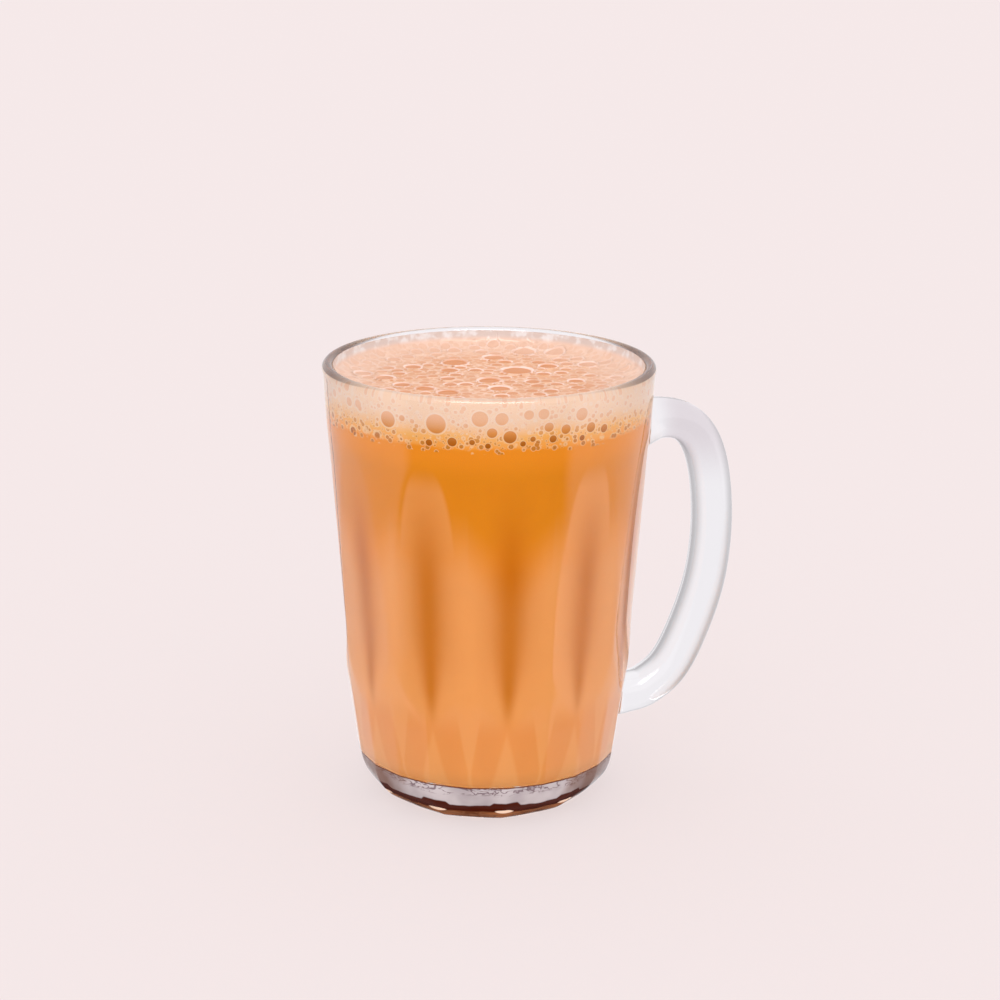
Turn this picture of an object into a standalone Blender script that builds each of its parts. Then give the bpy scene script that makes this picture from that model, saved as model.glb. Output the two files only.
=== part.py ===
"""Handled drinking glass filled with pulled milk tea under a head of froth.

The glass is one pressed piece: a tapered cup with a thick base, ten shallow
flutes round the wall and a closed handle in the place of the eleventh. The
tea and the froth are two more solids inside it.

Metres, +Z up. The origin is the centre of the foot, and the handle is at +X.
"""
import math
import random

import bmesh
import bpy
from mathutils import Vector
from mathutils.geometry import delaunay_2d_cdt

MM = 0.001

# Cup, outside
HEIGHT = 108.0 * MM
RIM_RADIUS = 40.0 * MM
LIP_THICKNESS = 2.8 * MM
FOOT_RADIUS = 24.5 * MM
HEEL_RADIUS = 32.1 * MM
HEEL_HEIGHT = 10.5 * MM
HEEL_BULGE = (31.3 * MM, 3.8 * MM)
SHOULDER_RADIUS = 35.1 * MM
SHOULDER_HEIGHT = 33.0 * MM
BAND_RADIUS = 38.35 * MM
BAND_HEIGHT = 86.0 * MM
COLLAR_RADIUS = 38.95 * MM
COLLAR_HEIGHT = 92.0 * MM

# Flutes and facets in the wall
PLACES = 11
FLUTE_TOP = 91.0 * MM
FLUTE_DEEPEST = 45.0 * MM
FLUTE_TIP = 25.0 * MM
FLUTE_DEPTH = 0.9 * MM
FLUTE_HALF_ANGLE = math.radians(17.0)
FLUTE_ARCH = 0.7
FACET_TOP = 34.0 * MM
FACET_SHARE = 0.8
CORNER_TOP = 12.0 * MM
CORNER_SHARE = 0.55

# Cup, inside
FLOOR_HEIGHT = 9.8 * MM
FLOOR_CURVE = 5.5 * MM
INNER_TOP_RADIUS = 37.2 * MM
INNER_FLOOR_RADIUS = 29.2 * MM

# Handle: its middle line as (distance from the axis, height), top to bottom
HANDLE_ROUTE = (
    (37.2 * MM, 89.8 * MM),
    (44.0 * MM, 91.0 * MM),
    (50.4 * MM, 89.5 * MM),
    (55.1 * MM, 84.3 * MM),
    (57.8 * MM, 75.4 * MM),
    (58.9 * MM, 62.5 * MM),
    (57.5 * MM, 49.0 * MM),
    (53.7 * MM, 36.6 * MM),
    (48.5 * MM, 26.2 * MM),
    (42.0 * MM, 21.0 * MM),
    (36.5 * MM, 19.8 * MM),
    (31.6 * MM, 19.6 * MM),
)
HANDLE_WIDTH = 11.0 * MM
HANDLE_TOP_THICKNESS = 9.6 * MM
HANDLE_LOW_THICKNESS = 10.0 * MM
HANDLE_SQUARENESS = 2.8
TOP_ROOT_FLARE = 0.26
LOW_ROOT_FLARE = 0.08
ROOT_FLARE_LENGTH = 5.0 * MM

# Contents
GAP = 0.3 * MM
TEA_LEVEL = 95.5 * MM
FROTH_LEVEL = 102.9 * MM
FROTH_CLIMB = 2.2 * MM
FROTH_CLIMB_LENGTH = 2.3 * MM

# Bubbles in the top of the froth, as (how many, radius)
BUBBLE_SIZES = ((4, 3.6 * MM), (16, 2.7 * MM), (44, 1.9 * MM), (60, 1.3 * MM))
BUBBLE_RISE = 0.55 * MM
FULL_RISE_RADIUS = 2.5 * MM
BUBBLE_SPACING = 0.9
BUBBLE_EDGE_GAP = 2.0 * MM
BUBBLE_TRIES = 12
BUBBLE_SEED = 11

# Fineness of the meshes
COLUMNS_PER_PLACE = 8
HEEL_STEPS = 6
WALL_ROW_HEIGHTS = tuple(
    height * MM for height in (15, 20, 25, 28, 33, 39, 48, 57, 66, 75, 82, 86, 89, 92, 98, 104))
LIP_STEPS = 6
TAPER_STEPS = 4
FLOOR_CURVE_STEPS = 5
TEA_COLUMNS = 66
FROTH_GRID = 2.3 * MM
FROTH_EDGE_STEPS = (0.0, 1.0 * MM, 2.4 * MM)
HANDLE_STEPS_PER_SPAN = 3
HANDLE_SIDES = 14
SHARP_ANGLE = math.radians(40)
FROTH_SHARP_ANGLE = math.radians(30)


def clear_scene():
    for thing in list(bpy.data.objects):
        bpy.data.objects.remove(thing, do_unlink=True)


def make_material(name, colour, roughness, alpha=1.0):
    material = bpy.data.materials.new(name)
    material.use_nodes = True
    shader = material.node_tree.nodes["Principled BSDF"]
    shader.inputs["Base Color"].default_value = (*colour, 1.0)
    shader.inputs["Roughness"].default_value = roughness
    shader.inputs["Metallic"].default_value = 0.0
    shader.inputs["Alpha"].default_value = alpha
    material.diffuse_color = (*colour, alpha)
    return material


def mix(a, b, share):
    return a + (b - a) * share


def clamp(value):
    return min(max(value, 0.0), 1.0)


def heel_curve(share):
    """Quadratic Bezier from the edge of the foot up to the lower wall."""
    before, between, after = (1 - share) ** 2, 2 * share * (1 - share), share ** 2
    radius = before * FOOT_RADIUS + between * HEEL_BULGE[0] + after * HEEL_RADIUS
    height = between * HEEL_BULGE[1] + after * HEEL_HEIGHT
    return radius, height


def wall_radius(height):
    """Outer radius above the heel, before the flutes: straight tapers that meet."""
    stations = (
        (HEEL_HEIGHT, HEEL_RADIUS),
        (SHOULDER_HEIGHT, SHOULDER_RADIUS),
        (BAND_HEIGHT, BAND_RADIUS),
        (COLLAR_HEIGHT, COLLAR_RADIUS),
        (HEIGHT, RIM_RADIUS),
    )
    for (low, low_radius), (high, high_radius) in zip(stations, stations[1:]):
        if height <= high:
            return mix(low_radius, high_radius, (height - low) / (high - low))
    return RIM_RADIUS


def inner_radius(height):
    """Radius of the cavity's straight taper at one height."""
    share = (height - FLOOR_HEIGHT) / (HEIGHT - FLOOR_HEIGHT)
    return mix(INNER_FLOOR_RADIUS, INNER_TOP_RADIUS, share)


def flute_strength(height):
    """0 at a flute's arched top and at its pointed tip, 1 where it is deepest."""
    if height >= FLUTE_DEEPEST:
        return clamp((FLUTE_TOP - height) / (FLUTE_TOP - FLUTE_DEEPEST)) ** FLUTE_ARCH
    return clamp((height - FLUTE_TIP) / (FLUTE_DEEPEST - FLUTE_TIP)) ** 2


def flute_cut(height, angle):
    """Depth of the flute at an angle from the flute's own middle line."""
    strength = flute_strength(height)
    if strength <= 0.0:
        return 0.0
    half_angle = FLUTE_HALF_ANGLE * math.sqrt(strength)
    return FLUTE_DEPTH * strength * max(0.0, 1 - (angle / half_angle) ** 2)


def flattening(radius, angle, half_angle):
    """How far a flat between two corners lies inside the circle through them."""
    return radius * (1 - math.cos(half_angle) / math.cos(angle))


def cup_radius(radius, height, turn):
    """Outer radius at a height and a turn about the axis, with flutes and facets."""
    place = 2 * math.pi / PLACES
    from_flute = (turn + place / 2) % place - place / 2
    from_ridge = place / 2 - abs(from_flute)
    from_facet = abs(abs(from_flute) - place / 4)
    below_wall = clamp((FACET_TOP - height) / (FACET_TOP - FLUTE_TIP))
    facet = FACET_SHARE * below_wall * clamp(height / HEEL_HEIGHT)
    corner = CORNER_SHARE * clamp(1 - height / CORNER_TOP)
    cut = flute_cut(height, from_flute)
    cut += facet * flattening(radius, from_facet, place / 4)
    cut += corner * flattening(radius, from_ridge, place / 2)
    return radius - cut


def outer_rows():
    """(radius, height) of the outer rings from the foot up to below the lip."""
    rows = [heel_curve(step / HEEL_STEPS) for step in range(HEEL_STEPS + 1)]
    rows += [(wall_radius(height), height) for height in WALL_ROW_HEIGHTS]
    return rows


def lip_rows():
    """Half circle over the lip, from outside to inside."""
    half = LIP_THICKNESS / 2
    centre_radius = RIM_RADIUS - half
    centre_height = HEIGHT - half
    rows = []
    for step in range(LIP_STEPS + 1):
        turn = math.pi * step / LIP_STEPS
        rows.append((centre_radius + half * math.cos(turn), centre_height + half * math.sin(turn)))
    return rows


def cavity_rows(top, margin=0.0):
    """(radius, height) of the cavity from one height to its floor, shrunk by a margin."""
    low = FLOOR_HEIGHT + FLOOR_CURVE
    rows = []
    for step in range(TAPER_STEPS + 1):
        height = mix(top, low, step / TAPER_STEPS)
        rows.append((inner_radius(height) - margin, height))
    corner_radius = inner_radius(low) - margin
    curve = FLOOR_CURVE - margin
    for step in range(1, FLOOR_CURVE_STEPS + 1):
        turn = math.pi / 2 * step / FLOOR_CURVE_STEPS
        rows.append((corner_radius - curve * (1 - math.cos(turn)), low - curve * math.sin(turn)))
    return rows


def add_ring(mesh, points):
    return [mesh.verts.new(point) for point in points]


def join_rings(mesh, first, second):
    count = len(first)
    for index in range(count):
        after = (index + 1) % count
        mesh.faces.new((first[index], first[after], second[after], second[index]))


def close_ring(mesh, ring, centre):
    """Fan from a ring to one middle point."""
    middle = mesh.verts.new(centre)
    count = len(ring)
    for index in range(count):
        mesh.faces.new((ring[index], ring[(index + 1) % count], middle))


def turned_points(radius, height, columns, shape=None):
    points = []
    for index in range(columns):
        turn = 2 * math.pi * index / columns
        size = shape(radius, height, turn) if shape else radius
        points.append((size * math.cos(turn), size * math.sin(turn), height))
    return points


def finish_object(mesh, name, material, sharp_angle=SHARP_ANGLE):
    """Turn a bmesh into a smooth-shaded object with its faces pointing out."""
    bmesh.ops.recalc_face_normals(mesh, faces=mesh.faces)
    data = bpy.data.meshes.new(name)
    mesh.to_mesh(data)
    mesh.free()
    data.shade_smooth()
    data.set_sharp_from_angle(angle=sharp_angle)
    data.materials.append(material)
    thing = bpy.data.objects.new(name, data)
    bpy.context.collection.objects.link(thing)
    return thing


def build_cup(material):
    """The cup as one closed skin: foot, heel, fluted wall, lip and cavity."""
    columns = PLACES * COLUMNS_PER_PLACE
    mesh = bmesh.new()
    rings = []
    for radius, height in outer_rows():
        rings.append(add_ring(mesh, turned_points(radius, height, columns, cup_radius)))
    for radius, height in lip_rows() + cavity_rows(HEIGHT - 2 * LIP_THICKNESS):
        rings.append(add_ring(mesh, turned_points(radius, height, columns)))
    for lower, upper in zip(rings, rings[1:]):
        join_rings(mesh, lower, upper)
    mesh.faces.new(reversed(rings[0]))
    close_ring(mesh, rings[-1], (0, 0, FLOOR_HEIGHT))
    return finish_object(mesh, "glass_mug", material)


def smooth_route(points, steps):
    """Catmull-Rom curve through the points, with its ends held."""
    ends = [points[0], *points, points[-1]]
    route = []
    for before, start, end, after in zip(ends, ends[1:], ends[2:], ends[3:]):
        for step in range(steps):
            share = step / steps
            point = []
            for a, b, c, d in zip(before, start, end, after):
                slope, bend, twist = c - a, 2 * a - 5 * b + 4 * c - d, 3 * b - a - 3 * c + d
                point.append(b + (slope * share + bend * share ** 2 + twist * share ** 3) / 2)
            route.append(point)
    route.append(points[-1])
    return [Vector((x, 0.0, z)) for x, z in route]


def route_direction(route, index):
    """Direction along the route, whose two ends meet the wall squarely."""
    if index == 0:
        return Vector((1.0, 0.0, 0.0))
    if index == len(route) - 1:
        return Vector((-1.0, 0.0, 0.0))
    return route[index + 1] - route[index - 1]


def handle_section(centre, outward, half_thickness, half_width):
    """Rounded-square ring across the handle's middle line."""
    points = []
    for index in range(HANDLE_SIDES):
        turn = 2 * math.pi * (index + 0.5) / HANDLE_SIDES
        power = 2 / HANDLE_SQUARENESS
        across = math.copysign(abs(math.cos(turn)) ** power, math.cos(turn))
        aside = math.copysign(abs(math.sin(turn)) ** power, math.sin(turn))
        sideways = Vector((0.0, half_width * aside, 0.0))
        points.append(centre + outward * (half_thickness * across) + sideways)
    return points


def build_handle(material):
    """Swept handle whose two ends stop inside the wall of the cup."""
    route = smooth_route(HANDLE_ROUTE, HANDLE_STEPS_PER_SPAN)
    lengths = [0.0]
    for start, end in zip(route, route[1:]):
        lengths.append(lengths[-1] + (end - start).length)
    mesh = bmesh.new()
    rings = []
    for index, centre in enumerate(route):
        ahead = route_direction(route, index)
        outward = Vector((-ahead.z, 0.0, ahead.x)).normalized()
        from_top = lengths[index]
        from_low = lengths[-1] - lengths[index]
        flare = 1 + TOP_ROOT_FLARE * math.exp(-((from_top / ROOT_FLARE_LENGTH) ** 2))
        flare += LOW_ROOT_FLARE * math.exp(-((from_low / ROOT_FLARE_LENGTH) ** 2))
        thickness = mix(HANDLE_TOP_THICKNESS, HANDLE_LOW_THICKNESS, from_top / lengths[-1])
        section = handle_section(centre, outward, flare * thickness / 2, flare * HANDLE_WIDTH / 2)
        rings.append(add_ring(mesh, section))
    for first, second in zip(rings, rings[1:]):
        join_rings(mesh, first, second)
    mesh.faces.new(rings[0])
    mesh.faces.new(reversed(rings[-1]))
    handle = finish_object(mesh, "handle_form", material)
    handle.hide_render = True
    handle.display_type = "WIRE"
    return handle


def build_mug():
    """Cup and handle fused into the one piece of glass."""
    glass = make_material("clear_glass", (0.93, 0.95, 0.95), 0.03, alpha=0.35)
    cup = build_cup(glass)
    fuse = cup.modifiers.new("fuse_handle", "BOOLEAN")
    fuse.operation = "UNION"
    fuse.solver = "EXACT"
    fuse.object = build_handle(glass)


def build_tea():
    """Solid of tea that fills the cavity up to its level."""
    tea = make_material("milk_tea", (0.72, 0.30, 0.07), 0.35)
    mesh = bmesh.new()
    rings = []
    for radius, height in cavity_rows(TEA_LEVEL, GAP):
        rings.append(add_ring(mesh, turned_points(radius, height, TEA_COLUMNS)))
    for upper, lower in zip(rings, rings[1:]):
        join_rings(mesh, upper, lower)
    mesh.faces.new(rings[0])
    close_ring(mesh, rings[-1], (0, 0, FLOOR_HEIGHT + GAP))
    finish_object(mesh, "tea", tea)


def place_bubbles(reach):
    """Bubbles as (x, y, radius), largest first, none overlapping much."""
    rng = random.Random(BUBBLE_SEED)
    bubbles = []
    for count, radius in BUBBLE_SIZES:
        wanted = len(bubbles) + count
        for _ in range(count * BUBBLE_TRIES):
            distance = (reach - radius) * math.sqrt(rng.random())
            turn = rng.uniform(0, 2 * math.pi)
            x, y = distance * math.cos(turn), distance * math.sin(turn)
            size = radius * rng.uniform(0.85, 1.1)
            clear = all(math.hypot(x - a, y - b) > BUBBLE_SPACING * (size + c) for a, b, c in bubbles)
            if clear and len(bubbles) < wanted:
                bubbles.append((x, y, size))
    return bubbles


def froth_height(x, y, reach, bubbles):
    """Height of the froth's top: a climb up the wall and a low dome over each bubble."""
    rise = 0.0
    for centre_x, centre_y, radius in bubbles:
        away = math.hypot(x - centre_x, y - centre_y) / radius
        if away < 1:
            full = BUBBLE_RISE * min(1.0, radius / FULL_RISE_RADIUS)
            rise = max(rise, full * math.sqrt(1 - away ** 2))
    climb = FROTH_CLIMB * math.exp((math.hypot(x, y) - reach) / FROTH_CLIMB_LENGTH)
    return FROTH_LEVEL + rise + climb


def froth_points(reach):
    """The edge ring and the points inside it: closer rings, then a triangular grid."""
    count = round(2 * math.pi * reach / FROTH_GRID)
    rings = []
    for ring, inset in enumerate(FROTH_EDGE_STEPS):
        turns = [2 * math.pi * (index + ring / 2) / count for index in range(count)]
        rings.append([(reach - inset) * Vector((math.cos(turn), math.sin(turn))) for turn in turns])
    edge, inside = rings[0], rings[1] + rings[2]
    row_height = FROTH_GRID * math.sqrt(3) / 2
    rows = int(reach / row_height)
    steps = int(reach / FROTH_GRID) + 1
    for row in range(-rows, rows + 1):
        shift = FROTH_GRID / 2 * (row % 2)
        for step in range(-steps, steps + 1):
            point = Vector((step * FROTH_GRID + shift, row * row_height))
            if point.length < reach - FROTH_EDGE_STEPS[-1] - FROTH_GRID / 2:
                inside.append(point)
    return edge, inside


def build_froth():
    """Disc of froth on the tea, with bubble domes in its top."""
    froth = make_material("tea_froth", (0.95, 0.72, 0.55), 0.5)
    bottom = TEA_LEVEL + GAP
    reach = inner_radius(FROTH_LEVEL + FROTH_CLIMB) - GAP
    bubbles = place_bubbles(reach - BUBBLE_EDGE_GAP)
    edge, inside = froth_points(reach)
    count = len(edge)
    rim_edges = [(index, (index + 1) % count) for index in range(count)]
    points, _, faces, *_ = delaunay_2d_cdt(edge + inside, rim_edges, [], 1, 1e-7)
    mesh = bmesh.new()
    top = [mesh.verts.new((p.x, p.y, froth_height(p.x, p.y, reach, bubbles))) for p in points]
    for face in faces:
        mesh.faces.new([top[index] for index in face])
    rim = top[:count]
    shrink = (inner_radius(bottom) - GAP) / reach
    low = [mesh.verts.new((v.co.x * shrink, v.co.y * shrink, bottom)) for v in rim]
    join_rings(mesh, rim, low)
    mesh.faces.new(low)
    finish_object(mesh, "froth", froth, FROTH_SHARP_ANGLE)


def main():
    clear_scene()
    build_mug()
    build_tea()
    build_froth()


main()
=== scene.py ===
"""Looks for a handled glass of pulled milk tea under a head of froth.

Metres, +Z up. The origin is the centre of the foot, and the handle is at +X.
"""
import math

import bpy
import numpy as np
from mathutils import Matrix, Vector


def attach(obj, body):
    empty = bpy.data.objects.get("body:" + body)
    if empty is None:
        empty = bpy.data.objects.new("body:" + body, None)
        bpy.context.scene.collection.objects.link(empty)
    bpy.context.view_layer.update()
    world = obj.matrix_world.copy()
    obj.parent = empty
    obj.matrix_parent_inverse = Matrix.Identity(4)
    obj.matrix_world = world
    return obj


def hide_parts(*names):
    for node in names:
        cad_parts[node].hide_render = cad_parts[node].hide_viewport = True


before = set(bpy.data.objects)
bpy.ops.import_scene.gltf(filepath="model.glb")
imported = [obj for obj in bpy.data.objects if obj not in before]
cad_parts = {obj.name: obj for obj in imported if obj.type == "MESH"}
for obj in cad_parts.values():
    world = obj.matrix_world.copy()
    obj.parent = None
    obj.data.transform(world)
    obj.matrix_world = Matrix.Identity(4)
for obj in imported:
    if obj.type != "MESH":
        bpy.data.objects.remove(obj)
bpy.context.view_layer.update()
MM = 0.001

# Camera: a long lens that looks down on the rim, with the handle to the right and
# turned slightly away. Light bounces often enough to pass glass behind glass.
CAMERA_AIM_HEIGHT = 50 * MM
CAMERA_DISTANCE = 580 * MM
CAMERA_LENS = 84.8
CAMERA_TURN = math.radians(-17.2)
CAMERA_DROP = math.radians(18.5)
CAMERA_YAW = math.radians(0.29)
CAMERA_PITCH = math.radians(2.20)
CAMERA_ROLL = math.radians(0.46)
ALL_BOUNCES = 24
MIRROR_BOUNCES = 12
GLASS_BOUNCES = 16

scene = bpy.context.scene
scene.view_settings.view_transform = "Standard"
scene.cycles.max_bounces = ALL_BOUNCES
scene.cycles.glossy_bounces = MIRROR_BOUNCES
scene.cycles.transmission_bounces = GLASS_BOUNCES

facing = Matrix.Rotation(CAMERA_TURN, 3, "Z") @ Matrix.Rotation(math.pi / 2 - CAMERA_DROP, 3, "X")
aim = facing @ Matrix.Rotation(-CAMERA_YAW, 3, "Y") @ Matrix.Rotation(CAMERA_PITCH, 3, "X")
aim = aim @ Matrix.Rotation(CAMERA_ROLL, 3, "Z")
camera_data = bpy.data.cameras.new("camera")
camera_data.lens = CAMERA_LENS
camera = bpy.data.objects.new("camera", camera_data)
camera.location = facing @ Vector((0, 0, CAMERA_DISTANCE)) + Vector((0, 0, CAMERA_AIM_HEIGHT))
camera.rotation_euler = aim.to_euler()
scene.collection.objects.link(camera)
scene.camera = camera


# Room light: a pale studio. Polished glass mirrors a dim front, bright sides and
# one window above, and bends a room that is darker at the sides. A plain dome
# lights the rest, and a wall of the floor's colour stands behind the floor.
def linear(red, green, blue):
    """An 8-bit screen colour as Blender's linear RGBA."""
    shares = [value / 255 for value in (red, green, blue)]
    return (*[s / 12.92 if s < 0.04045 else ((s + 0.055) / 1.055) ** 2.4 for s in shares], 1.0)


class Wire:
    """A socket of a node tree that is used like a number.

    + - * and / add Math nodes, with a Wire or a plain number on either side, and
    ** does with a Wire on its left. node() adds any other node: settings are set
    first, then its sockets' values or links, and it gives back one output.
    """

    def __init__(self, tree, socket=None):
        self.tree = tree
        self.socket = socket

    def node(self, kind, sockets=(), out=0, stops=None, **settings):
        made = self.tree.nodes.new("ShaderNode" + kind)
        for name, value in settings.items():
            setattr(made, name, value)
        if stops:
            ramp = made.color_ramp
            while len(ramp.elements) < len(stops):
                ramp.elements.new(0.5)
            for element, (place, colour) in zip(ramp.elements, stops):
                element.position = place
                element.color = colour
        self.fill(made, dict(sockets))
        return Wire(self.tree, made.outputs[out])

    def fill(self, node, sockets):
        """Give a node's sockets their values or links."""
        for name, value in sockets.items():
            if isinstance(value, Wire):
                self.tree.links.new(value.socket, node.inputs[name])
            else:
                node.inputs[name].default_value = value

    def maths(self, operation, *values):
        return self.node("Math", enumerate(values), operation=operation)

    def __add__(self, other):
        return self.maths("ADD", self, other)

    __radd__ = __add__

    def __sub__(self, other):
        return self.maths("SUBTRACT", self, other)

    def __rsub__(self, other):
        return self.maths("SUBTRACT", other, self)

    def __mul__(self, other):
        return self.maths("MULTIPLY", self, other)

    __rmul__ = __mul__

    def __truediv__(self, other):
        return self.maths("DIVIDE", self, other)

    def __rtruediv__(self, other):
        return self.maths("DIVIDE", other, self)

    def __pow__(self, other):
        return self.maths("POWER", self, other)

    def step(self, low, high):
        """0 below low and 1 above high, smooth between; reversed if high is below low."""
        sockets = {"Value": self, "From Min": low, "From Max": high}
        return self.node("MapRange", sockets, interpolation_type="SMOOTHSTEP")

    def blend(self, low, high):
        """A colour between low and high, by this share."""
        return self.node("Mix", {0: self, 6: low, 7: high}, out=2, data_type="RGBA")

    def ramp(self, *stops):
        """A value or colour that changes through stops of (place, colour)."""
        return self.node("ValToRGB", {0: self}, stops=stops)


# Strengths: DOME lights what scatters, MIRROR shows in reflections, BENT shows through glass
DOME_TOP = 1.35
DOME_HORIZON = 3.15
DOME_BELOW = 1.2
DOME_SIDES = 0.56
DOME_BACK = 0.8
MIRROR_FRONT = 0.14
MIRROR_SIDES = 1.15
MIRROR_BACK = 1.0
MIRROR_ABOVE = 1.0
MIRROR_BELOW = 0.5
MIRROR_BELOW_BACK = 0.1
BENT_FRONT = 0.55
BENT_SIDES = 0.45
BENT_BACK = 0.95
WINDOW = 7.0
ROOM_COLOUR = linear(254, 251, 254)
WALL_COLOUR = linear(245, 233, 233)
# Soft edges from nothing to full: turns from straight in front, then upward slopes
SIDES_EDGE = (math.radians(60) - 0.1, math.radians(60) + 0.1)
BACK_EDGE = (math.radians(120), math.radians(155))
FAR_BACK_EDGE = (math.radians(125), math.radians(162))
WINDOW_SIDE = (math.radians(48), math.radians(26))
WINDOW_BOTTOM = (0.60, 0.66)
WINDOW_TOP = (0.92, 0.86)
ABOVE_EDGE = (-0.05, 0.15)
BELOW_EDGE = (-0.5, -0.65)
HORIZON_EDGE = (-0.1, 0.1)
TOP_EDGE = (0.0, 0.9)

world = bpy.data.worlds.new("studio")
world.use_nodes = True
world.cycles.sampling_method = "NONE"
world.node_tree.nodes.clear()
wire = Wire(world.node_tree)
direction = wire.node("TexCoord", out="Generated")
turned = wire.node("VectorRotate", {"Vector": direction, "Angle": -CAMERA_TURN}, rotation_type="Z_AXIS")
to_right, to_back, upward = (wire.node("SeparateXYZ", {0: turned}, out=axis) for axis in range(3))
from_front = wire.maths("ABSOLUTE", wire.maths("ARCTAN2", to_right, 0.0 - to_back))
sides = from_front.step(*SIDES_EDGE)
back = from_front.step(*BACK_EDGE)
mirrored = MIRROR_FRONT + sides * (MIRROR_SIDES - MIRROR_FRONT) + back * (MIRROR_BACK - MIRROR_SIDES)
mirrored = mirrored + upward.step(*ABOVE_EDGE) * (MIRROR_ABOVE - mirrored)
below = MIRROR_BELOW + back * (MIRROR_BELOW_BACK - MIRROR_BELOW)
mirrored = mirrored + upward.step(*BELOW_EDGE) * (below - mirrored)
window = upward.step(*WINDOW_BOTTOM) * upward.step(*WINDOW_TOP) * from_front.step(*WINDOW_SIDE)
mirrored = mirrored + window * WINDOW
far_back = from_front.step(*FAR_BACK_EDGE)
bent = BENT_FRONT + sides * (BENT_SIDES - BENT_FRONT) + far_back * (BENT_BACK - BENT_SIDES)
dome = DOME_BELOW + upward.step(*HORIZON_EDGE) * (DOME_HORIZON - DOME_BELOW)
dome = dome + upward.step(*TOP_EDGE) * (DOME_TOP - DOME_HORIZON)
around = 1.0 + sides * (DOME_SIDES - 1.0) + back * (DOME_BACK - DOME_SIDES)
dome = dome * (around + upward.step(*TOP_EDGE) * (1.0 - around))
through_glass = wire.node("LightPath", out="Is Transmission Ray")
seen = mirrored + through_glass * (bent - mirrored)
scattered = wire.node("LightPath", out="Diffuse Depth").step(0.4, 0.6)
strength = seen + scattered * (dome - seen)
wall = wire.node("LightPath", out="Is Camera Ray")
strength = strength + wall * (1.0 - strength)
colour = wall.blend(ROOM_COLOUR, WALL_COLOUR)
background = wire.node("Background", {"Color": colour, "Strength": strength})
output = wire.tree.nodes.new("ShaderNodeOutputWorld")
wire.tree.links.new(background.socket, output.inputs["Surface"])
scene.world = world

# Floor: one plain pale matt sheet, far wider than the view, that glows evenly.
# Polished glass mirrors and bends the light of the room and not of the sheet.
FLOOR_REACH = 6.0
FLOOR_DROP = 0.1 * MM
FLOOR_GLOW = (0.686, 0.612, 0.612, 1.0)
FLOOR_COLOUR = (0.142, 0.128, 0.125, 1.0)


def new_material(name):
    """A new material and the wire of its node tree."""
    material = bpy.data.materials.new(name)
    material.use_nodes = True
    return material, Wire(material.node_tree)


floor_mesh = bpy.data.meshes.new("floor")
corners = [(-FLOOR_REACH, -FLOOR_REACH), (FLOOR_REACH, -FLOOR_REACH),
           (FLOOR_REACH, FLOOR_REACH), (-FLOOR_REACH, FLOOR_REACH)]
floor_mesh.from_pydata([(x, y, -FLOOR_DROP) for x, y in corners], [], [(0, 1, 2, 3)])
floor = bpy.data.objects.new("floor", floor_mesh)
floor.visible_glossy = False
floor.visible_transmission = False
scene.collection.objects.link(floor)
plain_sheet, wire = new_material("plain_sheet")
wire.fill(wire.tree.nodes["Principled BSDF"], {
    "Base Color": FLOOR_COLOUR, "Emission Color": FLOOR_GLOW, "Emission Strength": 1.0,
    "Roughness": 0.9, "Specular IOR Level": 0.0})
floor_mesh.materials.append(plain_sheet)

# Glass mug: one pressed piece of clear soda-lime glass, a tapered cup with a
# thick base, ten shallow flutes and an eleventh behind the handle. The handle
# is fused on with a small fillet, as the mould leaves it.
HEIGHT = 108.0 * MM
RIM_RADIUS = 40.0 * MM
LIP_THICKNESS = 2.8 * MM
FOOT_RADIUS = 24.5 * MM
HEEL_RADIUS = 32.1 * MM
HEEL_HEIGHT = 10.5 * MM
HEEL_BULGE = (31.3 * MM, 3.8 * MM)
WALL_HEIGHTS = (HEEL_HEIGHT, 33.0 * MM, 86.0 * MM, 92.0 * MM, HEIGHT)
WALL_RADII = (HEEL_RADIUS, 35.1 * MM, 38.35 * MM, 38.95 * MM, RIM_RADIUS)
WALL_ROUNDING = 3.0 * MM
PLACES = 11
PLACE = 2 * math.pi / PLACES
FLUTE_TOP = 91.0 * MM
FLUTE_DEEPEST = 45.0 * MM
FLUTE_TIP = 25.0 * MM
FLUTE_DEPTH = 0.9 * MM
FLUTE_HALF_ANGLE = math.radians(17.0)
FLUTE_ARCH = 0.7
FACET_TOP = 34.0 * MM
FACET_SHARE = 0.8
CORNER_TOP = 12.0 * MM
CORNER_SHARE = 0.55
FLOOR_HEIGHT = 9.8 * MM
FLOOR_CURVE = 5.5 * MM
INNER_TOP_RADIUS = 37.2 * MM
INNER_FLOOR_RADIUS = 29.2 * MM
FOOT_LINE = 11.1 * MM
CAVITY_CLEAR = 30.0 * MM
CUP_COLUMNS = PLACES * 26
FOOT_ROWS = 3
HEEL_ROWS = 15
WALL_ROWS = 99
LIP_ROWS = 13
CAVITY_ROWS = 24
CAVITY_CORNER_ROWS = 12


def mix(a, b, share):
    """The value a share of the way from a to b."""
    return a + (b - a) * share


def wall_radius(height):
    """Straight tapers between stations, rounded where they meet: the mean over a short height."""
    rounding = np.clip(height - WALL_HEIGHTS[0], 0, WALL_ROUNDING)
    near = np.minimum(height[:, None] + rounding[:, None] * np.linspace(-1, 1, 7), HEIGHT)
    return np.interp(near, WALL_HEIGHTS, WALL_RADII).mean(axis=1)


def inner_radius(height):
    """Straight taper of the cavity, from its floor to the lip."""
    return mix(INNER_FLOOR_RADIUS, INNER_TOP_RADIUS, (height - FLOOR_HEIGHT) / (HEIGHT - FLOOR_HEIGHT))


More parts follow.
